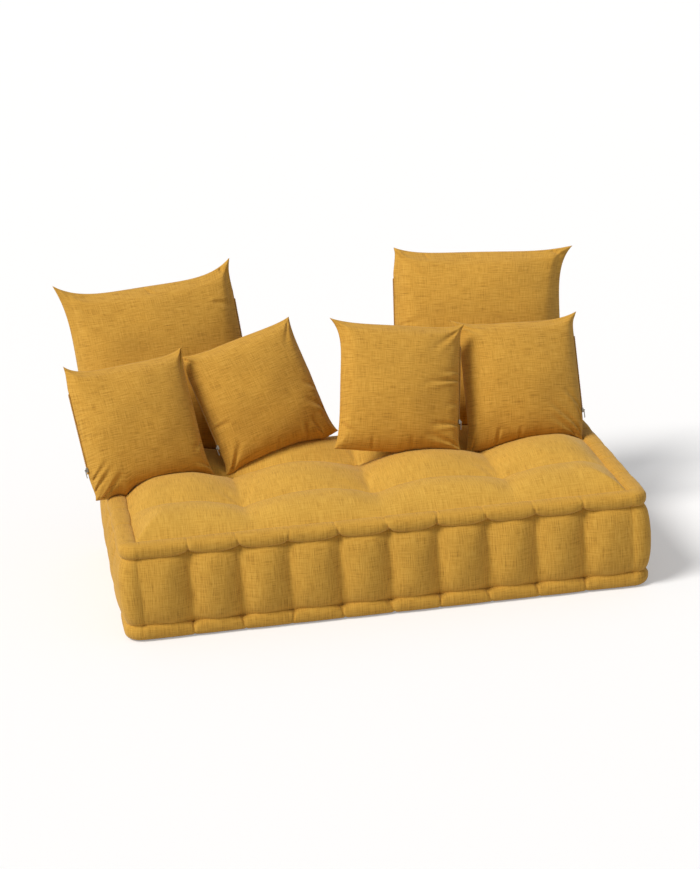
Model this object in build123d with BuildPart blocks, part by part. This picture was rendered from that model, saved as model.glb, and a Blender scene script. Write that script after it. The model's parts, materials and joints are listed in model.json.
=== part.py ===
from build123d import *
import math
import os

os.makedirs("parts", exist_ok=True)

# Floor futon: a tufted floor mattress with rolled edges, and six loose pillows that stand on it.
# Millimetres. The origin is on the floor under the middle of the mattress, X runs along its
# length, the front faces -Y, and Z is up.

# Mattress
mattress_length = 1400
mattress_depth = 800
edge_height = 268
top_roll_height = 38
bottom_roll_height = 42
roll_width = 48
roll_nose_share = 0.75
nip_depth = 7
nip_rise = 9
seam_drop = 5
front_channels = 10
side_channels = 5
crease_inset = 14
channel_bulge = 12
belly = 10
belly_bulge = 4
mound_rise = 46
valley_rise = 10
tuft_drop = 12
seam_swell = 2
shoulder_share = 0.4
shoulder_rise_share = 0.7
mound_columns = 4
mound_rows = 3
bottom_panel_thickness = 14
twine_radius = 2
knot_radius = 6
knot_height = 5
knot_sides = 8

# Pillows
large_side = 530
large_thickness = 165
large_draw_in = 24
small_side = 370
small_thickness = 125
small_draw_in = 16
cover_level_shares = (
    (0, 1, 1),
    (0.31, 0.95, 0.8),
    (0.6, 0.8, 0.6),
    (0.835, 0.55, 0.38),
    (0.955, 0.3, 0.2),
    (1, 0.1, 0.065),
)
insert_level_shares = ((0, 0.8), (0.5, 0.6), (0.85, 0.32))

# Where each pillow stands: its size, which end of the mattress its foot is measured from, how
# many of its own sides in from that end, and how far behind the rear tufts in thicknesses of a
# small and of a large pillow
pillow_place_shares = {
    "large_pillow_left": ("large", -1, 0.372, 0.9, 0.45),
    "large_pillow_right": ("large", 1, 0.513, 1.1, 0.45),
    "small_pillow_1": ("small", -1, 0.324, -0.585, 0),
    "small_pillow_2": ("small", -1, 1.27, 0.455, 0),
    "small_pillow_3": ("small", 1, 1.533, -0.665, 0),
    "small_pillow_4": ("small", 1, 0.549, -0.105, 0),
}

# In degrees: turned about the vertical, leaned back, and tilted in its own plane
pillow_angles = {
    "large_pillow_left": (7, 21, 2),
    "large_pillow_right": (-5, 21, -3),
    "small_pillow_1": (14, 25, 2),
    "small_pillow_2": (12, 25, 12),
    "small_pillow_3": (2, 25, -9),
    "small_pillow_4": (4, 25, -3),
}
settling_steps = 12
settling_level_shares = ((0, 1, 1), (0.1, 0.997, 0.935), (0.2, 0.981, 0.871), (0.31, 0.95, 0.8))

# Zips, one in a side seam of each cover: -1 for the left seam, 1 for the right
zip_hands = {
    "large_pillow_left": 1,
    "large_pillow_right": -1,
    "small_pillow_1": -1,
    "small_pillow_2": -1,
    "small_pillow_3": 1,
    "small_pillow_4": 1,
}
zip_length_share = 0.6
tape_width_share = 0.55
tape_thickness = 1.2
chain_width = 6
chain_thickness = 1.8
slider_length = 12
slider_wall = 1.2
lug_thickness = 1
pin_radius = 0.8
pull_length = 22
pull_width = 4
pull_thickness = 1.4
eye_radius = 2
eye_sides = 8

# Clearances
soft_gap = 0.3
fit_gap = 0.2

half_length = mattress_length / 2
half_depth = mattress_depth / 2
seam_x = half_length - roll_width
seam_y = half_depth - roll_width
border_bottom = bottom_roll_height
border_top = edge_height - top_roll_height
seam_height = edge_height - seam_drop


def save(piece, name):
    """Give a finished piece its name and write it."""
    piece.part.label = name
    export_step(piece.part, f"parts/{name}.step")


# Side border: the upright band, gathered into channels between its creases
def creases(seam_half, count):
    return [seam_half * (2 * step / count - 1) for step in range(count + 1)]


def border_outline(inset, bulge):
    """One arc for each channel, and one round each corner."""
    front = [(x, inset - half_depth) for x in creases(seam_x, front_channels)]
    right = [(half_length - inset, y) for y in creases(seam_y, side_channels)]
    back = [(-x, -y) for x, y in front]
    left = [(-x, -y) for x, y in right]
    sides = [front, right, back, left]
    for index, side in enumerate(sides):
        for start, end in zip(side, side[1:]):
            SagittaArc(start, end, -bulge)
        next_side = sides[(index + 1) % len(sides)]
        RadiusArc(side[-1], next_side[0], inset - roll_width)


border_levels = (
    (border_bottom + soft_gap, crease_inset, channel_bulge),
    ((border_bottom + border_top) / 2, crease_inset - belly, channel_bulge + belly_bulge),
    (border_top - soft_gap, crease_inset, channel_bulge),
)
with BuildPart() as side_border:
    for level, inset, bulge in border_levels:
        with BuildSketch(Plane.XY.offset(level)):
            with BuildLine():
                border_outline(inset, bulge)
            make_face()
    loft()
    with BuildSketch(Plane.XY.offset(border_bottom)):
        Rectangle(2 * seam_x, 2 * seam_y)
    extrude(amount=border_top - border_bottom, mode=Mode.SUBTRACT)
save(side_border, "side_border")


# Rolled edges: stuffed lengths between the stitches that pull them in
def roll_profile(inset, low, high, seam_level):
    """Section of a roll, drawn outwards from its seam: a flat back and a round nose."""
    middle = (low + high) / 2
    nose = inset - roll_width
    shoulder = nose + roll_nose_share * (high - low) / 2
    Polyline((shoulder, low), (0, low), (0, seam_level), (shoulder, high))
    ThreePointArc((shoulder, high), (nose, middle), (shoulder, low))


def roll_lobe(length, full, nipped):
    with BuildPart() as lobe:
        for place, profile in ((-length / 2, nipped), (0, full), (length / 2, nipped)):
            with BuildSketch(Plane.YZ.offset(place)):
                with BuildLine():
                    roll_profile(*profile)
                make_face()
        loft()
    return lobe.part


def roll_corner(nipped):
    with BuildPart() as corner:
        with BuildSketch(Plane.YZ):
            with BuildLine():
                roll_profile(*nipped)
            make_face()
        revolve(axis=Axis.Z, revolution_arc=90)
    return corner.part


def rolled_edge(full, nipped):
    """A roll round all four sides of the mattress."""
    front_lobe = roll_lobe(2 * seam_x / front_channels, full, nipped)
    side_lobe = roll_lobe(2 * seam_y / side_channels, full, nipped)
    corner = roll_corner(nipped)
    front_creases = creases(seam_x, front_channels)
    side_creases = creases(seam_y, side_channels)
    front_centres = [(a + b) / 2 for a, b in zip(front_creases, front_creases[1:])]
    side_centres = [(a + b) / 2 for a, b in zip(side_creases, side_creases[1:])]
    with BuildPart() as roll:
        for turn, sign in ((0, -1), (180, 1)):
            with Locations(*[Location((x, sign * seam_y, 0), (0, 0, turn)) for x in front_centres]):
                add(front_lobe)
        for turn, sign in ((90, 1), (270, -1)):
            with Locations(*[Location((sign * seam_x, y, 0), (0, 0, turn)) for y in side_centres]):
                add(side_lobe)
        corner_places = ((0, 1, -1), (90, 1, 1), (180, -1, 1), (270, -1, -1))
        for turn, sign_x, sign_y in corner_places:
            with Locations(Location((sign_x * seam_x, sign_y * seam_y, 0), (0, 0, turn))):
                add(corner)
    return roll


top_roll = rolled_edge(
    (0, border_top, edge_height, seam_height),
    (nip_depth, border_top + nip_rise, edge_height - seam_drop / 2, seam_height),
)
save(top_roll, "top_roll")

bottom_roll = rolled_edge(
    (0, 0, bottom_roll_height, bottom_roll_height),
    (nip_depth, 0, bottom_roll_height - nip_rise, bottom_roll_height - nip_rise),
)
save(bottom_roll, "bottom_roll")

# Tufts: where the twine ties go through, at the corners shared by four mounds
tuft_xs = [mattress_length * (step / mound_columns - 1 / 2) for step in range(1, mound_columns)]
tuft_ys = [mattress_depth * (step / mound_rows - 1 / 2) for step in range(1, mound_rows)]
tuft_places = [(x, y) for y in tuft_ys for x in tuft_xs]
tuft_level = edge_height - tuft_drop
panel_half_x = seam_x - soft_gap
panel_half_y = seam_y - soft_gap


# Top panel: rows of mounds between the tufts
def mound_section(corner_level, crown_level):
    """Section along the mattress: a swell over each mound, down to the seam at both ends."""
    xs = [-panel_half_x, *tuft_xs, panel_half_x]
    levels = [seam_height, *[corner_level] * len(tuft_xs), seam_height]
    for x1, z1, x2, z2 in zip(xs, levels, xs[1:], levels[1:]):
        ThreePointArc((x1, z1), ((x1 + x2) / 2, crown_level), (x2, z2))
    Polyline(
        (panel_half_x, seam_height),
        (panel_half_x, border_top),
        (-panel_half_x, border_top),
        (-panel_half_x, seam_height),
    )


valley_level = edge_height + valley_rise
mound_level = edge_height + mound_rise
row_depth = mattress_depth / mound_rows
crest_ys = [(row + 1 / 2) * row_depth - half_depth for row in range(mound_rows)]
shoulder_y = panel_half_y - shoulder_share * (panel_half_y - crest_ys[-1])
shoulder_corner = seam_height + shoulder_rise_share * (valley_level - seam_height)
shoulder_crown = seam_height + shoulder_rise_share * (mound_level - seam_height)

panel_sections = [
    (-panel_half_y, seam_height, seam_height + seam_swell),
    (-shoulder_y, shoulder_corner, shoulder_crown),
]
for crest_y, tuft_y in zip(crest_ys, tuft_ys):
    panel_sections.append((crest_y, valley_level, mound_level))
    panel_sections.append((tuft_y, tuft_level, valley_level))
panel_sections += [
    (crest_ys[-1], valley_level, mound_level),
    (shoulder_y, shoulder_corner, shoulder_crown),
    (panel_half_y, seam_height, seam_height + seam_swell),
]

with BuildPart() as top_panel:
    for y, corner_level, crown_level in panel_sections:
        with BuildSketch(Plane.XZ.offset(-y)):
            with BuildLine():
                mound_section(corner_level, crown_level)
            make_face()
    loft()
    with Locations(*[(x, y, border_top) for x, y in tuft_places]):
        Cylinder(twine_radius + fit_gap, 2 * mound_rise, mode=Mode.SUBTRACT)
    with Locations(*[(x, y, tuft_level - knot_height - fit_gap) for x, y in tuft_places]):
        Cylinder(
            knot_radius + fit_gap,
            2 * mound_rise,
            align=(Align.CENTER, Align.CENTER, Align.MIN),
            mode=Mode.SUBTRACT,
        )
save(top_panel, "top_panel")

# Bottom panel: flat, with a hollow under each tuft for the knot
with BuildPart() as bottom_panel:
    with BuildSketch():
        Rectangle(2 * panel_half_x, 2 * panel_half_y)
    extrude(amount=bottom_panel_thickness)
    with Locations(*[Location((x, y, 0), (180, 0, 0)) for x, y in tuft_places]):
        CounterBoreHole(twine_radius + fit_gap, knot_radius + fit_gap, knot_height + fit_gap)
save(bottom_panel, "bottom_panel")

# Core: the cotton filling between the panels
with BuildPart() as core_fill:
    with BuildSketch(Plane.XY.offset(bottom_panel_thickness + soft_gap)):
        Rectangle(2 * panel_half_x, 2 * panel_half_y)
    extrude(amount=border_top - bottom_panel_thickness - 2 * soft_gap)
    with Locations(*[(x, y, border_top) for x, y in tuft_places]):
        Hole(twine_radius + fit_gap)
save(core_fill, "core_fill")

# Tufting ties: one length of twine for each tuft, knotted above and below
for number, (x, y) in enumerate(tuft_places, start=1):
    with BuildPart() as tufting_tie:
        with Locations((x, y, fit_gap)):
            Cylinder(
                twine_radius,
                tuft_level - 2 * fit_gap,
                align=(Align.CENTER, Align.CENTER, Align.MIN),
            )
        for level in (fit_gap, tuft_level - knot_height - fit_gap):
            with BuildSketch(Plane.XY.offset(level)):
                with Locations((x, y)):
                    RegularPolygon(knot_radius, knot_sides)
            extrude(amount=knot_height)
    save(tufting_tie, f"tufting_tie_{number}")

# Pillows: each stands on its lower seam, leans back, and may be turned and tilted in its own plane
pillow_sizes = {
    "large": (large_side, large_thickness, large_draw_in),
    "small": (small_side, small_thickness, small_draw_in),
}


def cover_outline(side, draw_in, mid_share, corner_share):
    """Four arcs between the corners: hollow at the seam, full near the crown."""
    mid = (side / 2 - draw_in) * mid_share
    corner = side / 2 * corner_share
    corners = [(-corner, -corner), (corner, -corner), (corner, corner), (-corner, corner)]
    middles = [(0, -mid), (mid, 0), (0, mid), (-mid, 0)]
    for start, middle, end in zip(corners, middles, corners[1:] + corners[:1]):
        ThreePointArc(start, middle, end)


def cover_panel(plane, side, thickness, draw_in):
    """Half of a cover, from its seam out to its crown, hollow where the insert lies."""
    with BuildPart() as panel:
        for height_share, mid_share, corner_share in cover_level_shares:
            height = soft_gap / 2 + (thickness - soft_gap) / 2 * height_share
            with BuildSketch(plane.offset(height)):
                with BuildLine():
                    cover_outline(side, draw_in, mid_share, corner_share)
                make_face()
        loft()
        for height_share, half_share in insert_level_shares:
            with BuildSketch(plane.offset(thickness / 2 * height_share)):
                Rectangle(side * half_share, side * half_share)
        loft(ruled=True, mode=Mode.SUBTRACT)
    return panel


def pillow_insert(plane, side, thickness):
    """The filled inner bag, a little smaller than the hollow of the cover."""
    below = [(-height, half) for height, half in reversed(insert_level_shares[1:])]
    with BuildPart() as insert:
        for height_share, half_share in (*below, *insert_level_shares):
            height = (thickness / 2 - 2 * soft_gap) * height_share
            width = side * half_share - 2 * soft_gap
            with BuildSketch(plane.offset(height)):
                Rectangle(width, width)
        loft(ruled=True)
    return insert


def leaning_plane(foot, side, turn, lean, tilt):
    """The pillow's middle plane: x along its width, y up it, z out of its front."""
    turn_angle = math.radians(turn)
    lean_angle = math.radians(lean)
    across = Vector(math.cos(turn_angle), math.sin(turn_angle), 0)
    front = Vector(0, -math.cos(lean_angle), math.sin(lean_angle)).rotate(Axis.Z, turn)
    standing = Plane(foot, x_dir=across, z_dir=front)
    centre = standing.from_local_coords(Vector(0, side / 2, 0))
    return Plane(centre, x_dir=across.rotate(Axis((0, 0, 0), front), tilt), z_dir=front)


def flipped(plane):
    return Plane(plane.origin, x_dir=plane.x_dir, z_dir=-plane.z_dir)


def zip_frame(plane, side, draw_in, hand):
    """The zip's line down one side seam: x points out from the pillow, y up along the seam."""
    reach = side / 2 - draw_in + tape_width_share * draw_in
    line = plane.from_local_coords(Vector(hand * reach, 0, 0))
    return Plane(line, x_dir=plane.x_dir * hand, z_dir=plane.z_dir * hand)


def zip_section(frame, height):
    """Plane across the zip at a height along it, with x still pointing out."""
    return Plane(
        frame.from_local_coords(Vector(0, height, 0)), x_dir=frame.x_dir, z_dir=frame.y_dir
    )


def zip_tape(frame, side, draw_in, zip_half):
    """The doubled tape, filling the hollow of the seam out to the chain's straight line."""
    corner = side / 2
    seam_radius = (corner**2 + draw_in**2) / (2 * draw_in)
    seam_middle = soft_gap - tape_width_share * draw_in
    seam_end = seam_middle + seam_radius - math.sqrt(seam_radius**2 - zip_half**2)
    with BuildPart() as tape:
        with BuildSketch(frame):
            with BuildLine():
                ThreePointArc((seam_end, -zip_half), (seam_middle, 0), (seam_end, zip_half))
                Polyline((seam_end, zip_half), (0, zip_half), (0, -zip_half), (seam_end, -zip_half))
            make_face()
        extrude(amount=tape_thickness / 2, both=True)
    return tape


def zip_chain(frame, zip_half):
    with BuildPart() as chain:
        with BuildSketch(zip_section(frame, -zip_half)):
            with Locations((chain_thickness / 2, 0)):
                Rectangle(chain_thickness, chain_width)
        extrude(amount=2 * zip_half)
    return chain


slider_width = chain_width + 2 * (fit_gap + slider_wall)
slider_depth = chain_thickness + 2 * (fit_gap + slider_wall)
pin_height = chain_thickness + 2 * fit_gap + slider_wall + eye_radius


def pin_frame(frame, zip_half):
    """The pull's hinge line: z runs along the pin, x points out from the pillow."""
    centre = frame.from_local_coords(Vector(pin_height, slider_length / 2 - zip_half, 0))
    return Plane(centre, x_dir=frame.x_dir, z_dir=frame.z_dir)


def zip_slider(frame, zip_half):
    """Slider at the foot of the zip: a body that wraps the chain, and a pin between two lugs."""
    pin = pin_frame(frame, zip_half)
    back = Plane(
        pin.from_local_coords(Vector(-pin_height - fit_gap - slider_wall, 0, 0)),
        x_dir=frame.z_dir,
        z_dir=frame.x_dir,
    )
    with BuildPart() as slider:
        with BuildSketch(back):
            Rectangle(slider_width, slider_length)
        extrude(amount=slider_depth)
        with BuildSketch(zip_section(frame, -zip_half)):
            with Locations((chain_thickness / 2, 0)):
                Rectangle(chain_thickness + 2 * fit_gap, chain_width + 2 * fit_gap)
            with Locations((-fit_gap, 0)):
                Rectangle(2 * slider_wall, tape_thickness + 2 * fit_gap)
        extrude(amount=slider_length, mode=Mode.SUBTRACT)
        for sign in (1, -1):
            with BuildSketch(pin.offset(sign * (pull_width / 2 + fit_gap))):
                RegularPolygon(eye_radius, eye_sides)
                with Locations((-(eye_radius + fit_gap) / 2, 0)):
                    Rectangle(eye_radius + fit_gap, 2 * eye_radius)
            extrude(amount=sign * lug_thickness)
        with BuildSketch(pin):
            Circle(pin_radius)
        extrude(amount=pull_width / 2 + fit_gap, both=True)
    return slider


def zip_pull(frame, zip_half):
    """Pull tab hanging from the slider's pin by its eye."""
    pin = pin_frame(frame, zip_half)
    tab = Plane(pin.origin, x_dir=frame.z_dir, z_dir=frame.x_dir)
    with BuildPart() as pull:
        with BuildSketch(tab):
            with Locations((0, pull_length / 2)):
                Rectangle(pull_width, pull_length)
        extrude(amount=pull_thickness / 2, both=True)
        with BuildSketch(pin):
            RegularPolygon(eye_radius, eye_sides)
        extrude(amount=pull_width / 2, both=True)
        with BuildSketch(pin):
            Circle(pin_radius + fit_gap)
        extrude(amount=pull_width, both=True, mode=Mode.SUBTRACT)
    return pull


def settled(plane, side, thickness, draw_in):
    """Lower a pillow until the lower part of its cover just clears the mattress."""
    supports = [
        Compound(children=[face for face in support.faces() if face.normal_at().Z > 0])
        for support in (top_panel, top_roll)
    ]
    hoops = []
    for height_share, mid_share, corner_share in settling_level_shares:
        for sign in (1, -1):
            with BuildLine(plane.offset(sign * thickness / 2 * height_share)) as hoop:
                cover_outline(side, draw_in, mid_share, corner_share)
            hoops.append(hoop.wire())
    outline = Compound(children=hoops)
    drop = 0
    for _ in range(settling_steps):
        step = min(outline.distance_to(support) for support in supports) - soft_gap
        outline = outline.moved(Location((0, 0, -step)))
        drop += step
    return Plane(plane.origin - Vector(0, 0, drop), x_dir=plane.x_dir, z_dir=plane.z_dir)


for name, (size, end, in_share, small_share, large_share) in pillow_place_shares.items():
    side, thickness, draw_in = pillow_sizes[size]
    foot_x = end * (half_length - in_share * side)
    foot_y = tuft_ys[-1] + small_share * small_thickness + large_share * large_thickness
    start = leaning_plane((foot_x, foot_y, mound_level + small_side), side, *pillow_angles[name])
    plane = settled(start, side, thickness, draw_in)
    save(cover_panel(plane, side, thickness, draw_in), f"{name}_front_panel")
    save(cover_panel(flipped(plane), side, thickness, draw_in), f"{name}_back_panel")
    save(pillow_insert(plane, side, thickness), f"{name}_insert")
    frame = zip_frame(plane, side, draw_in, zip_hands[name])
    zip_half = zip_length_share * side / 2
    save(zip_tape(frame, side, draw_in, zip_half), f"{name}_zip_tape")
    save(zip_chain(frame, zip_half), f"{name}_zip_chain")
    save(zip_slider(frame, zip_half), f"{name}_zip_slider")
    save(zip_pull(frame, zip_half), f"{name}_zip_pull")
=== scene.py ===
import bpy
import json
import math
import random
import numpy as np
from mathutils import Matrix, Vector, noise
from mathutils.bvhtree import BVHTree


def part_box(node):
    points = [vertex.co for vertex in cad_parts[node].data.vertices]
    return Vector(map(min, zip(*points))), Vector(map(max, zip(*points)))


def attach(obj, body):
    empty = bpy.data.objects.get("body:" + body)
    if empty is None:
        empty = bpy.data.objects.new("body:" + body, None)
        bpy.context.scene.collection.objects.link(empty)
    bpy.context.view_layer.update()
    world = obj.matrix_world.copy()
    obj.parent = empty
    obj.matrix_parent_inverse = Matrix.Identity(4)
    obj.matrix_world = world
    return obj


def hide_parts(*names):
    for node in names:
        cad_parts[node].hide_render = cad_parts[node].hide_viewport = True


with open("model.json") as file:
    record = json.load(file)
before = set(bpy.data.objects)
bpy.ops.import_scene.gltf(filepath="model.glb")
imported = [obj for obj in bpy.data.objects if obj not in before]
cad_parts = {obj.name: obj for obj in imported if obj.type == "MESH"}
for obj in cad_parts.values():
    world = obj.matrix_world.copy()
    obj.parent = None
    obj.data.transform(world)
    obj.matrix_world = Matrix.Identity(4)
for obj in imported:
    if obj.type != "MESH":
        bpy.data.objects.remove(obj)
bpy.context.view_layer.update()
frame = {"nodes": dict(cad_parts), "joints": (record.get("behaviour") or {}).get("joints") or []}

# Cover cloth: mustard linen, woven in a plain weave from uneven slub yarn and dyed in the piece.
# The eye sees long thin dark and light streaks both ways, and no shine but a soft sheen.
WARP, WEFT = 0, 1


def linear(hex_colour):
    """sRGB hex to the linear colour a shader takes."""
    parts = [int(hex_colour[i : i + 2], 16) / 255 for i in (1, 3, 5)]
    return [c / 12.92 if c <= 0.04045 else ((c + 0.055) / 1.055) ** 2.4 for c in parts] + [1]


def add(tree, kind, inputs=None, **settings):
    """Adds one node, with its settings, and values or links for its inputs."""
    node = tree.nodes.new(kind)
    for key, value in settings.items():
        setattr(node, key, value)
    for key, value in (inputs or {}).items():
        if isinstance(value, bpy.types.NodeSocket):
            tree.links.new(value, node.inputs[key])
        else:
            node.inputs[key].default_value = value
    return node


def linen(name, mid, light, dark, long_way=WARP, yarn=0.0014, slub=0.045):
    """Slub linen. Its yarns run along the two directions of the mesh's cloth coordinates."""
    material = bpy.data.materials.new(name)
    material.use_nodes = True
    tree = material.node_tree
    shader = tree.nodes["Principled BSDF"]
    cloth = add(tree, "ShaderNodeUVMap", uv_map="cloth").outputs["UV"]
    # Slubs are about 0.5 mm thick and 3 to 6 cm long; drawn 2 mm thick, to show in the picture
    thick = 0.0021
    streaks = []
    for way in (WARP, WEFT):
        scale = (1 / slub, 1 / thick, 1) if way == WARP else (1 / thick, 1 / slub, 1)
        # The weft's streaks are taken from another place, so that they don't mirror the warp's
        start = (way * 7.3, way * 3.1, 0)
        run = add(tree, "ShaderNodeMapping", {"Vector": cloth, "Scale": scale, "Location": start})
        grain = {"Vector": run.outputs["Vector"], "Scale": 1.0, "Detail": 4.0, "Roughness": 0.6}
        streaks.append(add(tree, "ShaderNodeTexNoise", grain).outputs["Fac"])
    main, cross = streaks[long_way], streaks[1 - long_way]
    weave = add(tree, "ShaderNodeMath", {0: main, 1: 0.6}, operation="MULTIPLY").outputs[0]
    weave = add(tree, "ShaderNodeMath", {0: cross, 1: 0.4, 2: weave}, operation="MULTIPLY_ADD").outputs[0]
    tone = add(tree, "ShaderNodeValToRGB", {"Fac": weave})
    ramp = tone.color_ramp
    ramp.elements[0].position, ramp.elements[0].color = 0.36, linear(dark)
    ramp.elements[1].position, ramp.elements[1].color = 0.6, linear(light)
    ramp.elements.new(0.47).color = linear(mid)
    # The dye takes unevenly over a hand's breadth
    patches = add(tree, "ShaderNodeTexNoise", {"Vector": cloth, "Scale": 9.0, "Detail": 2.0})
    bright = add(
        tree, "ShaderNodeMapRange", {"Value": patches.outputs["Fac"], "To Min": 0.9, "To Max": 1.1}
    ).outputs["Result"]
    colour = add(tree, "ShaderNodeHueSaturation", {"Color": tone.outputs["Color"], "Value": bright})
    # The weave itself: rows of yarn both ways, a period of one yarn each. The cover is a coarse
    # linen, of about 7 yarns to the centimetre
    bands = {"Vector": cloth, "Scale": math.pi / 10 / yarn, "Distortion": 1.0, "Detail": 1.0}
    yarns = [add(tree, "ShaderNodeTexWave", bands, bands_direction=way).outputs["Fac"] for way in "XY"]
    rows = add(tree, "ShaderNodeMath", {0: yarns[0], 1: yarns[1]}, operation="MULTIPLY").outputs[0]
    height = add(tree, "ShaderNodeMath", {0: rows, 1: 0.35, 2: weave}, operation="MULTIPLY_ADD").outputs[0]
    bump = add(tree, "ShaderNodeBump", {"Height": height, "Strength": 0.45, "Distance": 0.001})
    tree.links.new(colour.outputs["Color"], shader.inputs["Base Color"])
    tree.links.new(bump.outputs["Normal"], shader.inputs["Normal"])
    shader.inputs["Roughness"].default_value = 0.85
    shader.inputs["Specular IOR Level"].default_value = 0.2
    shader.inputs["Sheen Weight"].default_value = 0.2
    shader.inputs["Sheen Roughness"].default_value = 0.5
    shader.inputs["Sheen Tint"].default_value = linear("#FFE9B8")
    return material


def add_piece(name, verts, faces, corners, material):
    """A smooth mesh object with cloth coordinates at each face's corners."""
    mesh = bpy.data.meshes.new(name)
    mesh.from_pydata(verts, [], faces)
    layer = mesh.uv_layers.new(name="cloth")
    for poly, places in zip(mesh.polygons, corners):
        poly.use_smooth = True
        for loop, place in zip(poly.loop_indices, places):
            layer.data[loop].uv = place
    mesh.materials.append(material)
    piece = bpy.data.objects.new(name, mesh)
    bpy.context.scene.collection.objects.link(piece)
    return piece


def cloth_sheet(name, rows, material, ring=None):
    """Quads between rows of (place, cloth place). ring is the cloth length of a closed way round."""
    width = len(rows[0])
    faces, corners = [], []
    for i in range(len(rows) if ring else len(rows) - 1):
        for j in range(width - 1):
            near = [(i, j), (i + 1, j), (i + 1, j + 1), (i, j + 1)]
            faces.append([(a % len(rows)) * width + b for a, b in near])
            places = [rows[a % len(rows)][b][1] for a, b in near]
            if i == len(rows) - 1:
                places[1:3] = [(x, y + ring) for x, y in places[1:3]]
            corners.append(places)
    return add_piece(name, [place for row in rows for place, _ in row], faces, corners, material)


def dress(piece, body, nodes):
    """Puts a piece on its body, in place of its CAD nodes."""
    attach(piece, body)
    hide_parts(*nodes)


def lumps(x, y, z, size, seed):
    """Smooth noise of about -1 to 1, with lumps of that size."""
    return noise.noise(Vector((x / size + seed * 17.3, y / size - seed * 5.1, z / size)))


# Top of the mattress: one cloth laid over the filling and pulled down by six ties, so that it
# swells into four by three mounds. It is sewn to the rolled edge all round.
# The lightest copy of the linen; the roll, border and pillows take darker copies of it, and their darkness is
# painted shade
top_linen = linen("mustard_slub_linen_top", "#C2943A", "#CFA347", "#AA7F30", long_way=WEFT)
half_length, half_depth = 0.7, 0.4
roll_width = 0.048
seam_x, seam_y = half_length - roll_width, half_depth - roll_width
# Heights of the seam to the rolled edge, and of the bottom of a tuft
seam_z, tuft_z = 0.258, 0.253
# The filling has spread the cover along its length
spread = 1.012
tuft_xs = [-0.35, 0, 0.35]
tuft_ys = [-0.4 / 3, 0.4 / 3]
# The top curves up from its seam over this width. Pleats round a tuft are deepest 30 mm from it
# and are left off beyond 160 mm
edge_width, pleat_peak, pleat_reach = 0.105, 0.03, 0.16


def swell(value, ties, limit):
    """0 on the line of a tie, 1 half way to the next, and 1 on out to the edge."""
    stops = [-limit] + ties + [limit]
    for low, high in zip(stops, stops[1:]):
        if value <= high or high == limit:
            break
    t = (value - low) / (high - low)
    if low == -limit:
        t = max(t, 0.5)
    if high == limit:
        t = min(t, 0.5)
    sine = math.sin(math.pi * min(max(t, 0), 1))
    # A soft-bottomed valley where the mounds meet. The last two numbers bring it back to 0 to 1
    softness, lowest, span = 0.012, 0.1095, 0.8965
    return ((math.sqrt(sine**2 + softness) - lowest) / span) ** 0.8


def top_height(x, y):
    """Height of the top cloth: mounds between the ties, pleats round them, and uneven filling."""
    across = swell(x, tuft_xs, seam_x)
    along = swell(y, tuft_ys, seam_y)
    # Valleys run out beyond the last ties, towards the seam
    past_y = min(max(abs(y) - tuft_ys[1], 0) / (seam_y - tuft_ys[1]), 1)
    past_x = min(max(abs(x) - tuft_xs[2], 0) / (seam_x - tuft_xs[2]), 1)
    across = 1 - (1 - across) * (1 - 0.6 * past_y)
    along = 1 - (1 - along) * (1 - 0.4 * past_x)
    to_edge = min(seam_x - abs(x), seam_y - abs(y))
    edge = 1 - (1 - min(max(to_edge, 0) / edge_width, 1)) ** 2.2
    rise = 0.019 * across + 0.021 * along + 0.02 * across * along
    z = seam_z + edge * (tuft_z - seam_z + rise)
    for tie_x in tuft_xs:
        for tie_y in tuft_ys:
            r = math.hypot(x - tie_x, y - tie_y)
            if r < pleat_reach:
                turn = math.atan2(y - tie_y, x - tie_x)
                pleats = math.sin(7 * turn + 9 * tie_x + 4 * tie_y) + 0.6 * math.sin(11 * turn + 3 * tie_x)
                z += 0.0012 * pleats * (r / pleat_peak) * math.exp(1 - r / pleat_peak)
                z -= 0.004 * math.exp(-((r / 0.012) ** 2))
    return z + edge * (0.0035 * lumps(x, y, 0, 0.16, 1) + 0.0013 * lumps(x, y, 0, 0.045, 2))


# The cloth runs 3 mm past its seam, in under the roll
top_steps_x, top_steps_y, top_past = 219, 121, 0.003
top_rows = []
for i in range(top_steps_x + 1):
    x = (i / top_steps_x * 2 - 1) * (seam_x + top_past)
    row = []
    for j in range(top_steps_y + 1):
        y = (j / top_steps_y * 2 - 1) * (seam_y + top_past)
        row.append(((x * spread, y, top_height(x, y)), (x, y)))
    top_rows.append(row)
top_cloth = cloth_sheet("top_cloth", top_rows, top_linen)
dress(top_cloth, "mattress", ["top_panel"])

# Rolled edge, top and bottom: the same cloth gathered round a sausage of filling and stitched
# through, with a tuck at each channel that nips it in.
# The same linen as the top in darker tones: the darkening is painted shade
shaded_roll_linen = linen("mustard_slub_linen_roll_painted_shade", "#BB8C34", "#C99B41", "#976D26", long_way=WARP)
random.seed(11)
corner_way = math.pi / 2 * roll_width
channel_steps, corner_steps = 30, 14
# The tuck at each crease: how it leans, its depth, and how plain a second one beside it is
tucks = [(random.uniform(-1, 1), random.uniform(0.5, 1), random.uniform(-1, 1)) for _ in range(34)]
# The creases next to the corners are hardly drawn in
for number in (0, 10, 11, 16, 17, 27, 28, 33):
    tucks[number] = (tucks[number][0], 0.1, -1)
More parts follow.
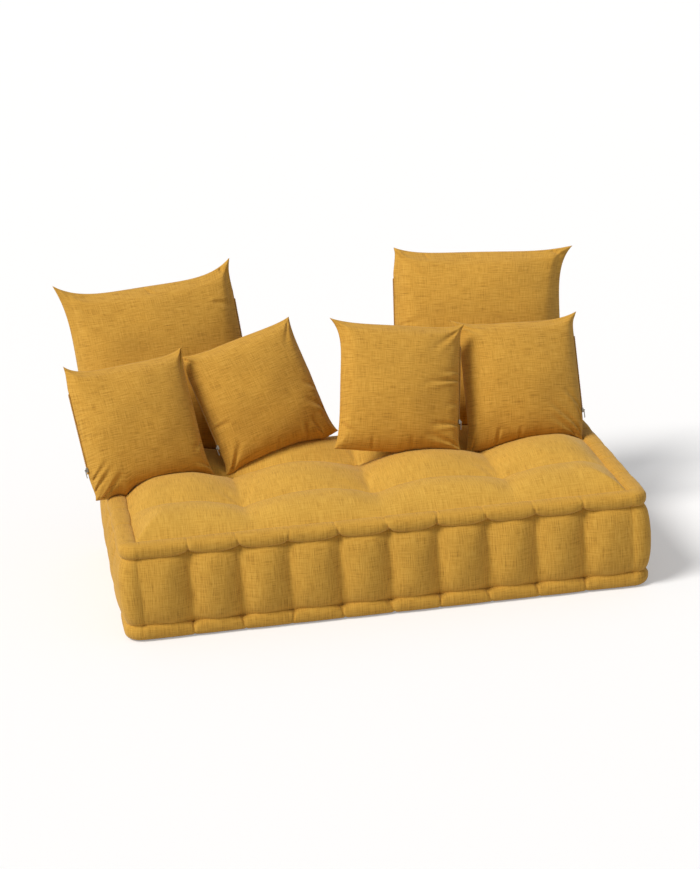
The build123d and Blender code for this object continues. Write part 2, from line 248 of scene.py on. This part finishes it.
# The way round the mattress on its seam line: place, outward direction, distance along, distance
# to the nearest crease with its sign, the crease's spacing, and its tuck
way_round = []
distance = 0
crease = 0
for side in range(4):
    turn = side * math.pi / 2
    forward = Vector((math.cos(turn), math.sin(turn)))
    outward = Vector((math.sin(turn), -math.cos(turn)))
    length, channels, reach = (2 * seam_x, 10, seam_y) if side % 2 == 0 else (2 * seam_y, 5, seam_x)
    spans = [(length / channels, channel_steps)] * channels + [(corner_way, corner_steps)]
    place = outward * reach - forward * length / 2
    for number, (pitch, steps) in enumerate(spans):
        for step in range(steps):
            # Closer steps near the creases
            t = step / steps - 0.8 * math.sin(2 * math.pi * step / steps) / (2 * math.pi)
            gap = t * pitch if t <= 0.5 else (t - 1) * pitch
            tuck = tucks[(crease + (t > 0.5)) % len(tucks)]
            if number < channels:
                spot, facing = place + forward * t * pitch, outward
            else:
                angle = turn - math.pi / 2 + t * math.pi / 2
                spot, facing = place, Vector((math.cos(angle), math.sin(angle)))
            way_round.append((spot, facing, distance + t * pitch, gap, pitch, tuck))
        crease += 1
        distance += pitch
        if number < channels:
            place = place + forward * pitch
whole_way = distance
# The middle of the roll stands this far out from the seam line, and it is this thick each way
roll_middle, roll_half, roll_steps = 0.022, 0.028, 29


def rolled(low, high, seam_up, seed):
    """Rows of points round a roll between two heights, one row at each step of the way round.
    seam_up is 1 where its panel is sewn on above it, and -1 below."""
    rows = []
    middle, half_height = (low + high) / 2, (high - low) / 2
    for spot, outward, distance, gap, pitch, (lean, depth, shift) in way_round:
        nip = (1 - min(abs(gap) / (pitch / 2), 1)) ** 2.2 * min(depth + 0.25, 1)
        puff = 1 + 0.08 * lumps(distance, 0, 0, 0.11, seed)
        row = []
        for j in range(roll_steps + 1):
            # From its inner side below, out round the roll and back in above
            angle = math.pi * (1.72 * j / roll_steps - 0.86)
            c, s = math.cos(angle), math.sin(angle)
            # Tucks run a little askew over the roll, with a fainter one beside some of them
            tuck = depth * math.exp(-(((gap - 0.009 * lean * s) / 0.0035) ** 2))
            tuck += 0.6 * max(shift, 0) * math.exp(-(((gap + 0.012 * s + 0.006) / 0.004) ** 2))
            # Nipped in on the side away from the seam
            far = 0.5 - 0.5 * s * seam_up
            swollen = roll_half * puff - far * (0.007 * nip + 0.011 * tuck)
            out = roll_middle + swollen * math.copysign(abs(c) ** 0.85, c)
            # The stitched face rises to the crease between the channels
            lift = (0.55 if s * seam_up < 0 else 0.03) * nip
            z = middle + half_height * (1 - lift - 0.1 * tuck) * math.copysign(abs(s) ** 0.8, s)
            out += 0.0009 * lumps(distance, angle * 0.03, 0, 0.012, seed + 3)
            at = spot + outward * out
            row.append(((at.x * spread, at.y, max(z, 0.0006)), (j * 0.0045, distance)))
        rows.append(row)
    return rows


top_roll_rows = rolled(0.2225, 0.2680, seam_up=1, seed=1)
bottom_roll_rows = rolled(0.0004, 0.0500, seam_up=-1, seed=2)
for node, rows in (("top_roll", top_roll_rows), ("bottom_roll", bottom_roll_rows)):
    roll = cloth_sheet(node + "_cloth", rows, shaded_roll_linen, ring=whole_way)
    dress(roll, "mattress", [node])

# Side border: a band of the cloth with filling behind it, drawn in by stitches at every crease
# so that it stands in upright channels, fullest half way up.
# The same linen as the top in darker tones: the darkening is painted shade
shaded_border_linen = linen("mustard_slub_linen_border_painted_shade", "#BE8E35", "#CC9E43", "#946A25", long_way=WARP)
border_low, border_high, border_steps = 0.028, 0.246, 33
border_rows = []
for spot, outward, distance, gap, pitch, (lean, depth, _) in way_round:
    row = []
    for j in range(border_steps + 1):
        t = j / border_steps
        z = border_low + t * (border_high - border_low)
        middle = 1 - abs(2 * t - 1) ** 2.4
        # Creases wander a little on their way down
        bent = gap + 0.003 * lean * math.sin(math.pi * t)
        soft = 0.0012 + 0.004 * middle
        near = min((math.sqrt(bent**2 + soft**2) - soft) / (pitch / 2), 1)
        crown = 1 - min(depth + 0.3, 1) * (1 - near) ** 2.3
        out = roll_width - 0.0185 + 0.0085 * middle + (0.010 + 0.015 * middle) * crown
        # Tucked in under the rolls, where it is sewn to them
        out -= 0.008 * (math.exp(-((t / 0.09) ** 2)) + math.exp(-(((1 - t) / 0.09) ** 2)))
        # Gathers about 11 mm apart beside the creases, and uneven filling
        pucker = math.exp(-((t / 0.14) ** 2)) + math.exp(-(((1 - t) / 0.14) ** 2))
        gather = math.sin(distance / 0.0017 + 4 * lumps(distance, 0, 0, 0.02, 5))
        out += 0.0008 * pucker * gather * math.exp(-abs(gap) / 0.02)
        out += 0.0022 * lumps(distance, 0, z * 0.4, 0.05, 6) + 0.0009 * lumps(distance, 0, z * 0.3, 0.014, 7)
        at = spot + outward * out
        row.append(((at.x * spread, at.y, z), (z, distance)))
    border_rows.append(row)
border_cloth = cloth_sheet("border_cloth", border_rows, shaded_border_linen, ring=whole_way)
dress(border_cloth, "mattress", ["side_border"])

# Underside: a flat panel of the cloth, dimpled where the ties go through.
under_steps_x, under_steps_y, under_past = 111, 61, 0.002
under_z, dimple_depth, dimple_radius = 0.001, 0.008, 0.02
under_rows = []
for i in range(under_steps_x + 1):
    x = (i / under_steps_x * 2 - 1) * (seam_x + under_past)
    row = []
    for j in range(under_steps_y + 1):
        y = (1 - j / under_steps_y * 2) * (seam_y + under_past)
        nearest = min(math.hypot(x - a, y - b) for a in tuft_xs for b in tuft_ys)
        z = under_z + dimple_depth * math.exp(-((nearest / dimple_radius) ** 2))
        row.append(((x * spread, y, z), (x, y)))
    under_rows.append(row)
under_cloth = cloth_sheet("under_cloth", under_rows, top_linen)
dress(under_cloth, "mattress", ["bottom_panel"])

# Filling: carded cotton in the mattress and in each pillow's inner bag, matt and off-white.
def speckled(name, dark, light, grain, roughness, relief=None):
    """A finish that wanders between two tones. grain is a noise's scale, detail and roughness, and
    relief is a bump's strength and distance."""
    material = bpy.data.materials.new(name)
    material.use_nodes = True
    tree = material.node_tree
    shader = tree.nodes["Principled BSDF"]
    settings = dict(zip(("Scale", "Detail", "Roughness"), grain))
    grains = add(tree, "ShaderNodeTexNoise", settings).outputs["Fac"]
    tone = add(tree, "ShaderNodeValToRGB", {"Fac": grains})
    tone.color_ramp.elements[0].color = linear(dark)
    tone.color_ramp.elements[1].color = linear(light)
    tree.links.new(tone.outputs["Color"], shader.inputs["Base Color"])
    if relief:
        strength, reach = relief
        bump = add(tree, "ShaderNodeBump", {"Height": grains, "Strength": strength, "Distance": reach})
        tree.links.new(bump.outputs["Normal"], shader.inputs["Normal"])
    shader.inputs["Roughness"].default_value = roughness
    return material


# Tufts of fibre, sixty to the width of a filling, so 5 to 20 mm each
cotton = speckled("undyed_cotton", "#D6CFBE", "#F2EEE3", (60.0, 6.0, 0.7), 0.95, relief=(0.6, 0.004))


def finish_node(name, material):
    """Gives a CAD node that stays its material."""
    for slot in frame["nodes"][name].material_slots:
        slot.material = material


finish_node("core_fill", cotton)

# Tufting ties: mustard cotton twine, knotted in the bottom of each tuft and under the mattress.
twine = linen("mustard_cotton_twine", "#A97D31", "#BE9240", "#80591F", yarn=0.0006, slub=0.01)
# Height and radius on the way up: the lower knot, the twine, and the upper knot
tie_rings = [
    (0.0008, 0.0002), (0.0009, 0.002), (0.002, 0.005), (0.005, 0.0052), (0.0068, 0.0022),
    (0.02, 0.0017), (0.12, 0.0017), (0.235, 0.0017),
    (0.2462, 0.0022), (0.2482, 0.0050), (0.2512, 0.0052), (0.2532, 0.002), (0.2533, 0.0002),
]
twine_sides = 12
for number, (tie_y, tie_x) in enumerate(((y, x) for y in tuft_ys for x in tuft_xs), start=1):
    rows = []
    for j in range(twine_sides + 1):
        row = []
        for z, radius in tie_rings:
            # Three strands, which turn round each other on the way up
            angle = 2 * math.pi * j / twine_sides
            at = radius * (1 + 0.12 * math.cos(3 * angle))
            angle += z * 60
            place = (tie_x * spread + at * math.cos(angle), tie_y + at * math.sin(angle), z)
            row.append((place, (z, j * 0.001)))
        rows.append(row)
    tie = cloth_sheet(f"twine_tie_{number}", rows, twine)
    dress(tie, "mattress", [f"tufting_tie_{number}"])

# Stitches: a line of twine stitches along the seam between the top and the rolled edge.
stitch_verts, stitch_faces, stitch_corners = [], [], []
stitch_pitch, stitch_length, stitch_radius = 0.0075, 0.005, 0.0006
# Each stitch is a short thread that dips into the cloth at its ends: share of its length, share
# of its radius, and height over the cloth
stitch_rings = ((-0.5, 0.1, -0.0004), (-0.3, 1, 0.0004), (0.3, 1, 0.0004), (0.5, 0.1, -0.0004))
# The point of the roll's rows that is nearest its seam
seam_point = 27
previous = -1
for (_, outward, distance, _, pitch, _), row in zip(way_round, top_roll_rows):
    if pitch == corner_way or distance - previous < stitch_pitch:
        continue
    previous = distance
    forward = Vector((-outward.y, outward.x, 0))
    aside = Vector((outward.x, outward.y, 0))
    at = Vector(row[seam_point][0])
    base = len(stitch_verts)
    for along, girth, lift in stitch_rings:
        for k in range(6):
            spoke = aside * math.cos(math.pi * k / 3) + Vector((0, 0, math.sin(math.pi * k / 3)))
            point = at + forward * along * stitch_length
            point = point + spoke * stitch_radius * girth + Vector((0, 0, lift))
            stitch_verts.append(point[:])
    for ring in range(len(stitch_rings) - 1):
        for k in range(6):
            a, b = base + ring * 6 + k, base + ring * 6 + (k + 1) % 6
            stitch_faces.append([a, a + 6, b + 6, b])
            near, next_on = k * 0.001, k * 0.001 + 0.001
            stitch_corners.append([(near, 0), (near, 0.002), (next_on, 0.002), (next_on, 0)])
stitches = add_piece("seam_stitches", stitch_verts, stitch_faces, stitch_corners, twine)
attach(stitches, "mattress")

# Pillows: two squares of the linen sewn edge to edge and turned, round a filled inner bag, so
# the sides draw in and the corners stand out as ears. Each stands on its lower seam and leans.
# The same linen as the top in darker tones: the darkening is painted shade
shaded_pillow_linen = linen("mustard_slub_linen_pillow_painted_shade", "#BE8D34", "#CD9D43", "#986C26", long_way=WARP)
joints = {joint["name"]: joint for joint in frame["joints"]}
# Side between the ears, thickness, how far the sides draw in, how far the CAD's do, grid steps
pillow_sizes = {"large": (0.530, 0.165, 0.027, 0.024, 66), "small": (0.370, 0.125, 0.020, 0.016, 56)}
# For each pillow: its size, the side its zip is on, and how far each ear is pulled across and up
# the pillow in millimetres, from the lower left ear round to the upper left
pillows = {
    "large_pillow_left": ("large", 1, ((3, 12), (0, 4), (-4, 14), (0, 12))),
    "large_pillow_right": ("large", -1, ((4, 0), (10, -6), (15, -16), (13, -12))),
    "small_pillow_1": ("small", -1, ((14, 12), (-4, 14), (-10, -2), (8, 5))),
    "small_pillow_2": ("small", -1, ((-5, -2), (-6, 15), (-12, -15), (12, -12))),
    "small_pillow_3": ("small", 1, ((9, 8), (3, -10), (4, -9), (-14, -12))),
    "small_pillow_4": ("small", 1, ((10, -8), (-14, 6), (10, 0), (2, -4))),
}
# Folds on the front: start and end in halves of the side, depth and width in millimetres. They
# are made 5/3 as deep as given, so that they show in the soft light
fold_divisor = 600
folds = {
    "large_pillow_left": [
        (-0.03, 0.99, 0.05, 0.84, 5, 5), (0.86, 0.99, 0.99, 0.8, 4, 7), (0.72, 0.62, 0.99, 0.5, 3, 9),
        (-0.95, -0.9, -0.6, -0.6, 4, 12), (-0.9, 0.9, -0.6, 0.55, 3, 14),
    ],
    "large_pillow_right": [
        (-0.62, 0.98, -0.58, 0.86, 4, 5), (0.8, 0.98, 0.97, 0.84, 4, 6), (0.95, -0.1, 0.6, -0.05, 3, 9),
        (0.95, -0.8, 0.6, -0.6, 4, 10), (-0.95, 0.9, -0.7, 0.65, 3, 12), (-0.96, 0.05, -0.7, 0.12, 2.5, 8),
    ],
    "small_pillow_1": [
        (-0.98, -0.86, -0.66, -0.62, 5, 5), (-0.97, -0.72, -0.7, -0.52, 4, 5),
        (-0.86, -0.98, -0.5, -0.72, 5, 6), (0.97, 0.96, 0.86, 0.55, 5, 6), (0.98, -0.5, 0.72, -0.62, 4, 6),
        (0.98, -0.86, 0.66, -0.8, 4, 7), (-0.95, 0.3, -0.7, 0.26, 2, 5), (-0.95, -0.1, -0.72, -0.16, 2, 5),
    ],
    "small_pillow_2": [
        (0.42, -0.98, 0.5, -0.72, 5, 6), (0.72, -0.9, 0.62, -0.66, 4.5, 6), (0.98, -0.62, 0.62, -0.38, 5, 8),
        (0.98, -0.3, 0.7, -0.12, 3.5, 7), (-0.98, -0.28, -0.72, -0.3, 4, 5), (-0.9, -0.95, -0.66, -0.6, 4, 7),
        (-0.97, 0.92, -0.8, 0.7, 3.5, 5), (-0.1, -0.98, -0.06, -0.8, 3, 5), (0.9, 0.9, 0.66, 0.5, 3, 9),
    ],
    "small_pillow_3": [
        (0.98, 0.06, 0.36, -0.04, 6, 6), (0.97, 0.2, 0.6, 0.16, 3.5, 6), (0.98, -0.62, 0.5, -0.66, 6, 6),
        (0.95, -0.93, 0.42, -0.78, 5, 7), (0.99, -0.3, 0.7, -0.36, 3, 7), (0.9, 0.86, 0.45, 0.5, 3.5, 9),
        (-0.97, -0.66, -0.74, -0.8, 4, 5), (-0.4, -0.98, -0.42, -0.78, 3, 5), (0.2, -0.98, 0.22, -0.8, 3, 5),
    ],
    "small_pillow_4": [
        (0.95, -0.9, 0.36, -0.42, 6, 6), (0.97, -0.56, 0.66, -0.24, 5, 6), (0.86, -0.97, 0.4, -0.66, 5, 6),
        (0.98, -0.74, 0.8, -0.44, 4, 4), (-0.9, -0.98, -0.84, -0.76, 4, 5), (-0.5, -0.98, -0.46, -0.74, 4, 5),
        (-0.12, -0.98, -0.1, -0.8, 3.5, 5), (0.16, -0.98, 0.15, -0.82, 3, 4), (-0.9, 0.92, -0.5, 0.7, 3.5, 8),
    ],
}


def resting_height(x, y):
    """Height of the mattress under a point, on its top or its rolled edge."""
    x /= spread
    beyond = max(abs(x) - seam_x, abs(y) - seam_y)
    if beyond <= 0:
        return top_height(x, y)
    if beyond < roll_width:
        # The upper half of the roll, as half an ellipse
        base, rise, half_width = 0.2485, 0.0195, 0.026
        return base + rise * math.sqrt(max(1 - ((beyond - roll_middle) / half_width) ** 2, 0))
    return 0


def fold_depth(u, v, strokes, half):
    """Depth of the folds at each point: a valley along each stroke, with a low ridge beside it."""
    depth = np.zeros(len(u))
    for u0, v0, u1, v1, deep, wide in strokes:
        run, rise = (u1 - u0) * half, (v1 - v0) * half
        length = math.hypot(run, rise)
        dx, dy = (u - u0) * half, (v - v0) * half
        t = np.clip((dx * run + dy * rise) / length**2, 0, 1)
        aside = (dy * run - dx * rise) / length
        over = np.hypot(dx - t * run, dy - t * rise)
        # Deepest near its start, at the seam, and run out at its end
        fade = np.clip(1 - t, 0, 1) ** 0.7 * np.clip(t * 8 + 0.5, 0, 1)
        wide_here = wide / 1000 * (0.6 + 0.8 * t)
        depth -= deep / fold_divisor * fade * np.exp(-((over / wide_here) ** 2))
        ridge = np.exp(-(((over - 2 * wide_here) / wide_here) ** 2)) * (aside > 0)
        depth += deep / (2 * fold_divisor) * fade * ridge
    return depth


sim_frames = 10
# On the bolt each cover lies 1.3 m from the next, with its front and back 0.6 m apart, so that no
# two squares show the same slubs
cover_apart, side_apart = 1.3, 0.3
for order, (pillow, (size, zip_hand, ears)) in enumerate(pillows.items()):
    side, thick, draw, cad_draw, steps = pillow_sizes[size]
    half = side / 2
    insert_low, insert_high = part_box(pillow + "_insert")
    centre = (insert_low + insert_high) / 2
    up = Vector(joints[pillow + "_zip_run"]["axis"])
    front = Vector(joints[pillow + "_pull_swing"]["axis"]) * zip_hand
    across = up.cross(front)
    # Grid lines, closer together towards the seams
    lines = np.sin(np.linspace(-1, 1, steps + 1) * 0.42 * math.pi) / math.sin(0.42 * math.pi)
    lines[0], lines[-1] = -1, 1
    index, spots, layers = {}, [], []
    for layer in (1, -1):
        for j in range(steps + 1):
            for i in range(steps + 1):
                if layer == -1 and (i in (0, steps) or j in (0, steps)):
                    index[layer, i, j] = index[1, i, j]
                    continue
                index[layer, i, j] = len(spots)
                spots.append((lines[i], lines[j]))
                layers.append(layer)
    u, v = np.array(spots).T
    layers = np.array(layers)
    # The zip holds its side straighter; the weight of the filling squares off the bottom
    zip_draw = cad_draw * 0.45
    zip_pull = zip_draw * (1 - np.abs(v) ** 7)
    pull_in = np.where(u * zip_hand > 0, zip_pull, draw * (1 - np.abs(v) ** 4.5))
    pull_up = draw * np.where(v > 0, 1, 0.2) * (1 - np.abs(u) ** 4.5)
    fill = np.maximum((1 - u**2) * (1 - v**2), 0) ** (0.46 + 0.09 * np.sqrt(np.abs(u * v)))
    start = np.column_stack(
        [u * (half - pull_in), v * (half - pull_up), layers * thick / 2 * fill * (0.97 - 0.06 * v)]
    )
    faces, corners = [], []
    for layer in (1, -1):
        for j in range(steps):
            for i in range(steps):
                near = [(i, j), (i + 1, j), (i + 1, j + 1), (i, j + 1)][::layer]
                faces.append([index[layer, a, b] for a, b in near])
                on_bolt = [lines[a] * half + order * cover_apart + layer * side_apart for a, _ in near]
                corners.append([(x, lines[b] * half) for x, (_, b) in zip(on_bolt, near)])
    cover = add_piece(pillow + "_cover", start.tolist(), faces, corners, shaded_pillow_linen)
    # The seam stays a crisp line
    rim = np.maximum(np.abs(u), np.abs(v)) > 0.9999
    sharp = cover.data.attributes.new("crease_edge", "FLOAT", "EDGE")
    for edge in cover.data.edges:
        if rim[edge.vertices[0]] and rim[edge.vertices[1]]:
            sharp.data[edge.index].value = 0.8
    cloth = cover.modifiers.new("fill", "CLOTH")
    cloth.settings.quality = 6
    cloth.settings.mass = 0.3
    cloth.settings.tension_stiffness = 15
    cloth.settings.compression_stiffness = 15
    cloth.settings.shear_stiffness = 5
    cloth.settings.bending_stiffness = 0.3
    cloth.settings.use_pressure = True
    cloth.settings.uniform_pressure_force = 3
    cloth.settings.effector_weights.gravity = 0
    cloth.collision_settings.use_collision = False
    cloth.point_cache.frame_end = sim_frames
    for step in range(1, sim_frames + 1):
        bpy.context.scene.frame_set(step)
    filled = cover.evaluated_get(bpy.context.evaluated_depsgraph_get())
    moved = np.array([vert.co[:] for vert in filled.data.vertices]) - start
    cover.modifiers.remove(cloth)
    bpy.context.scene.frame_set(1)
    # The seams stay where they are sewn, and nothing moves over 12 mm
    inside = 1 - np.maximum(np.abs(u), np.abs(v)) ** 10
    moved *= (0.25 + 0.6 * inside)[:, None]
    far = np.linalg.norm(moved, axis=1)
    moved *= np.minimum(1, 0.012 / np.maximum(far, 1e-9))[:, None]
    cover.data.vertices.foreach_set("co", (start + moved).ravel())
    cover.data.update()
    fine = cover.modifiers.new("fine", "SUBSURF")
    fine.levels = fine.render_levels = 1
    smooth = bpy.data.meshes.new_from_object(cover.evaluated_get(bpy.context.evaluated_depsgraph_get()))
    cover.modifiers.remove(fine)
    cover.data = smooth
    smooth.name = pillow + "_cover"
    # Where each point is on its square of cloth, -1 to 1 each way
    loop_verts = np.empty(len(smooth.loops), int)
    smooth.loops.foreach_get("vertex_index", loop_verts)
    on_cloth = np.empty(len(smooth.loops) * 2)
    smooth.uv_layers["cloth"].uv.foreach_get("vector", on_cloth)
    sheet = np.zeros((len(smooth.vertices), 2))
    sheet[loop_verts] = on_cloth.reshape(-1, 2)
    on_front = sheet[:, 0] > order * cover_apart
    u = (sheet[:, 0] - order * cover_apart - np.where(on_front, side_apart, -side_apart)) / half
    v = sheet[:, 1] / half
    local = np.array([vert.co[:] for vert in smooth.vertices])
    # Little gathers along the seams, then the folds
    to_seam = np.minimum(1 - np.abs(u), 1 - np.abs(v)) * half
    along_seam = np.where(np.abs(u) > np.abs(v), v, u) * half
    wave = np.array([lumps(a, order, 0.3 * layer, 0.02, 9) for a, layer in zip(along_seam, on_front)])
    gather = 0.0016 * wave * np.exp(-(((to_seam - 0.012) / 0.012) ** 2))
    soft = np.array([lumps(x, y, order + 0.5 * layer, 0.09, 4) for (x, y, _), layer in zip(local, on_front)])
    body = np.clip(to_seam / 0.05, 0, 1)
    deep = fold_depth(u, v, folds[pillow], half)
    back_folds = [(-a, b, -c, d, deep_mm * 0.7, wide) for a, b, c, d, deep_mm, wide in folds[pillow][::2]]
    deep = np.where(on_front, deep, fold_depth(u, v, back_folds, half)) * np.clip(to_seam / 0.006, 0, 1)
    local[:, 2] += np.where(on_front, 1, -1) * (gather + 0.0045 * soft * body + deep)
    # Ears pulled about as they lie, and bent a little forward or back at their tips
    for (ear_x, ear_y), (sign_x, sign_y) in zip(ears, ((-1, -1), (1, -1), (1, 1), (-1, 1))):
        share = np.clip(u * sign_x, 0, 1) ** 4 * np.clip(v * sign_y, 0, 1) ** 4
        local[:, 0] += share * ear_x / 1000
        local[:, 1] += share * ear_y / 1000
        tip = np.clip(u * sign_x, 0, 1) ** 12 * np.clip(v * sign_y, 0, 1) ** 12
        local[:, 2] += tip * 0.006 * (1 if (order + sign_x + sign_y // 2) % 2 else -1)
    # The side seam lies along the zip, half a millimetre in from its chain, and flat beside it
    rim = np.nonzero(u * zip_hand > 0.9999)[0]
    rim = rim[np.argsort(v[rim])]
    zip_line = half - zip_draw - 0.0005
    lack = zip_line - local[rim, 0] * zip_hand
    lack *= np.clip((0.92 - np.abs(v[rim])) / 0.25, 0, 1)
    local[:, 0] += zip_hand * np.interp(v, v[rim], lack) * np.clip(u * zip_hand, 0, 1) ** 6
    beside = np.clip((zip_line - local[:, 0] * zip_hand) / 0.007, 0.03, 1)
    local[:, 2] *= 1 - (1 - beside) * np.clip((0.78 - np.abs(v)) / 0.1, 0, 1)
    placed = local @ np.array([across[:], up[:], front[:]]) + np.array(centre[:])
    # The bottom sags to the mattress, and lies on it
    rim = np.nonzero(v < -0.9999)[0]
    rim = rim[np.argsort(u[rim])]
    over = [placed[k, 2] - resting_height(placed[k, 0], placed[k, 1]) for k in rim]
    sag = np.interp(u, u[rim], np.clip(over, 0, 0.022)) * np.clip((-v - 0.4) / 0.6, 0, 1) ** 1.5
    placed[:, 2] -= sag
    # The cover lies over the inner bag, 2 mm clear of it at the least
    bag = frame["nodes"][pillow + "_insert"]
    bag_points = [bag.matrix_world @ vert.co for vert in bag.data.vertices]
    bag_tree = BVHTree.FromPolygons(bag_points, [poly.vertices[:] for poly in bag.data.polygons])
    for k in np.nonzero(to_seam > 0.004)[0]:
        outside = front if on_front[k] else -front
        hit = bag_tree.ray_cast(Vector(placed[k]) + outside * thick, -outside, 2 * thick)[0]
        if hit is not None:
            missing = (hit - Vector(placed[k])).dot(outside) + 0.002
            placed[k] += max(missing, 0) * np.array(outside[:])
    # No point near the mattress, which is under 0.33 m high, sinks into it
    for k in np.nonzero(placed[:, 2] < 0.33)[0]:
        rest = resting_height(placed[k, 0], placed[k, 1]) + 0.0012
        placed[k, 2] = max(placed[k, 2], rest)
    smooth.vertices.foreach_set("co", placed.ravel())
    smooth.update()
    dress(cover, pillow, [pillow + "_front_panel", pillow + "_back_panel"])
    finish_node(pillow + "_insert", cotton)

# Zips: a woven tape, a moulded chain of teeth, and a dull nickel slider and pull left at the
# lower end. Each is set in the side seam of its cover.
# Woven tape: matt, with a grain as fine as its threads
tape_cloth = speckled(
    "mustard_woven_tape", "#8F6526", "#C39440", (700.0, 2.0, 0.5), 0.8, relief=(0.4, 0.0005)
)
# Moulded acetal: smooth and even, with a soft gloss
teeth_plastic = speckled("mustard_moulded_acetal", "#A87A2E", "#C1923F", (300.0, 1.0, 0.5), 0.45)
# Nickel plate, tumbled dull: a grey metal with a blurred and slightly uneven shine
nickel = bpy.data.materials.new("dull_nickel")
nickel.use_nodes = True
nickel_shader = nickel.node_tree.nodes["Principled BSDF"]
nickel_shader.inputs["Base Color"].default_value = linear("#857D70")
nickel_shader.inputs["Metallic"].default_value = 1.0
wear = add(nickel.node_tree, "ShaderNodeTexNoise", {"Scale": 900.0, "Detail": 2.0}).outputs["Fac"]
blur = add(nickel.node_tree, "ShaderNodeMapRange", {"Value": wear, "To Min": 0.3, "To Max": 0.5})
nickel.node_tree.links.new(blur.outputs["Result"], nickel_shader.inputs["Roughness"])
box_corners = (
    (-1, -1, -1), (1, -1, -1), (1, 1, -1), (-1, 1, -1), (-1, -1, 1), (1, -1, 1), (1, 1, 1), (-1, 1, 1),
)
box_faces = ((0, 3, 2, 1), (4, 5, 6, 7), (0, 1, 5, 4), (1, 2, 6, 5), (2, 3, 7, 6), (3, 0, 4, 7))
# Spacing of the teeth, half their size along, across and out of the zip, and how far each stands
# to its own side
tooth_pitch, tooth_half, tooth_aside = 0.0025, (0.00124, 0.0021, 0.0009), 0.0008
for pillow, (size, zip_hand, _) in pillows.items():
    up = Vector(joints[pillow + "_zip_run"]["axis"])
    front = Vector(joints[pillow + "_pull_swing"]["axis"]) * zip_hand
    out = up.cross(front) * zip_hand
    # A zip is 0.6 of the side long
    zip_half = 0.3 * pillow_sizes[size][0]
    chain_low, chain_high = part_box(pillow + "_zip_chain")
    middle = (chain_low + chain_high) / 2
    verts, faces, corners = [], [], []
    count = int(2 * zip_half / tooth_pitch)
    for number in range(count):
        along = (number + 0.5) / count * 2 * zip_half - zip_half
        aside = tooth_aside if number % 2 else -tooth_aside
        base = len(verts)
        for a, b, c in box_corners:
            # Teeth are narrower on top and touch at their roots
            taper = 0.75 if c == 1 else 1
            at = middle + up * (along + a * tooth_half[0] * taper)
            at += front * (aside + b * tooth_half[1] * taper) + out * c * tooth_half[2]
            verts.append(at[:])
        for face in box_faces:
            faces.append([base + k for k in face][::zip_hand])
            corners.append([(0, 0), (0, 0.001), (0.001, 0.001), (0.001, 0)])
    chain = add_piece(pillow + "_teeth", verts, faces, corners, teeth_plastic)
    for poly in chain.data.polygons:
        poly.use_smooth = False
    dress(chain, pillow, [pillow + "_zip_chain"])
    finish_node(pillow + "_zip_tape", tape_cloth)
    finish_node(pillow + "_zip_slider", nickel)
    finish_node(pillow + "_zip_pull", nickel)

# Studio: a pale floor that the camera sees nearly white, a broad soft key from the upper left
# and an even pale sky, as in the photograph.
floor_mesh = bpy.data.meshes.new("floor")
floor_mesh.from_pydata([(-30, -30, 0), (30, -30, 0), (30, 30, 0), (-30, 30, 0)], [], [(0, 1, 2, 3)])
floor = bpy.data.objects.new("floor", floor_mesh)
bpy.context.scene.collection.objects.link(floor)
pale = bpy.data.materials.new("pale_floor")
pale.use_nodes = True
pale_tree = pale.node_tree
pale_shader = pale_tree.nodes["Principled BSDF"]
pale_shader.inputs["Base Color"].default_value = linear("#CFD0D3")
pale_shader.inputs["Roughness"].default_value = 0.95
pale_shader.inputs["Emission Color"].default_value = (1, 1, 1, 1)


def seen_directly(tree):
    """1 for rays from the camera, also by a mirror or through glass, and 0 for light itself."""
    rays = add(tree, "ShaderNodeLightPath").outputs
    seen = rays["Is Camera Ray"]
    for other in ("Is Glossy Ray", "Is Transmission Ray"):
        seen = add(tree, "ShaderNodeMath", {0: seen, 1: rays[other]}, operation="MAXIMUM").outputs[0]
    return seen


lift = add(pale_tree, "ShaderNodeMath", {0: seen_directly(pale_tree), 1: 0.28}, operation="MULTIPLY")
pale_tree.links.new(lift.outputs[0], pale_shader.inputs["Emission Strength"])
floor_mesh.materials.append(pale)
key_data = bpy.data.lights.new("key", "SUN")
key_data.energy = 3.3
key_data.angle = math.radians(22)
key_data.color = linear("#FFFBF4")[:3]
key = bpy.data.objects.new("key", key_data)
bpy.context.scene.collection.objects.link(key)
key.rotation_mode = "QUATERNION"
key.rotation_quaternion = Vector((0.6, 0.28, -0.75)).to_track_quat("-Z", "Y")
world = bpy.data.worlds.new("studio")
bpy.context.scene.world = world
world.use_nodes = True
background = world.node_tree.nodes["Background"]
# White where it is seen, and about a third of that as light on the object
seen_sky = seen_directly(world.node_tree)
strength = add(world.node_tree, "ShaderNodeMapRange", {"Value": seen_sky, "To Min": 0.34, "To Max": 1.0})
world.node_tree.links.new(strength.outputs["Result"], background.inputs["Strength"])
background.inputs["Color"].default_value = (1, 1, 1, 1)
bpy.context.scene.view_settings.view_transform = "Standard"

# Camera: the photograph's own place, found from the mattress edges and tufts. It looks a little
# to the right and down and is rolled to one side, in radians, and its focal length is in pixels.
yaw, pitch, roll = 0.138173, 0.300481, 0.059348
focal_pixels, picture_pixels = 2460.5, 869
ahead = Vector((math.sin(yaw) * math.cos(pitch), math.cos(yaw) * math.cos(pitch), -math.sin(pitch)))
level = Vector((math.cos(yaw), -math.sin(yaw), 0))
above = level.cross(ahead)
right = math.cos(roll) * level - math.sin(roll) * above
upward = math.sin(roll) * level + math.cos(roll) * above
camera_data = bpy.data.cameras.new("camera")
camera_data.sensor_width = 36
camera_data.lens = focal_pixels / picture_pixels * 36
camera_data.clip_end = 100
camera = bpy.data.objects.new("camera", camera_data)
bpy.context.scene.collection.objects.link(camera)
camera.matrix_world = Matrix((right, upward, -ahead)).transposed().to_4x4()
camera.location = (-0.924086, -6.423735, 2.396217)
bpy.context.scene.camera = camera
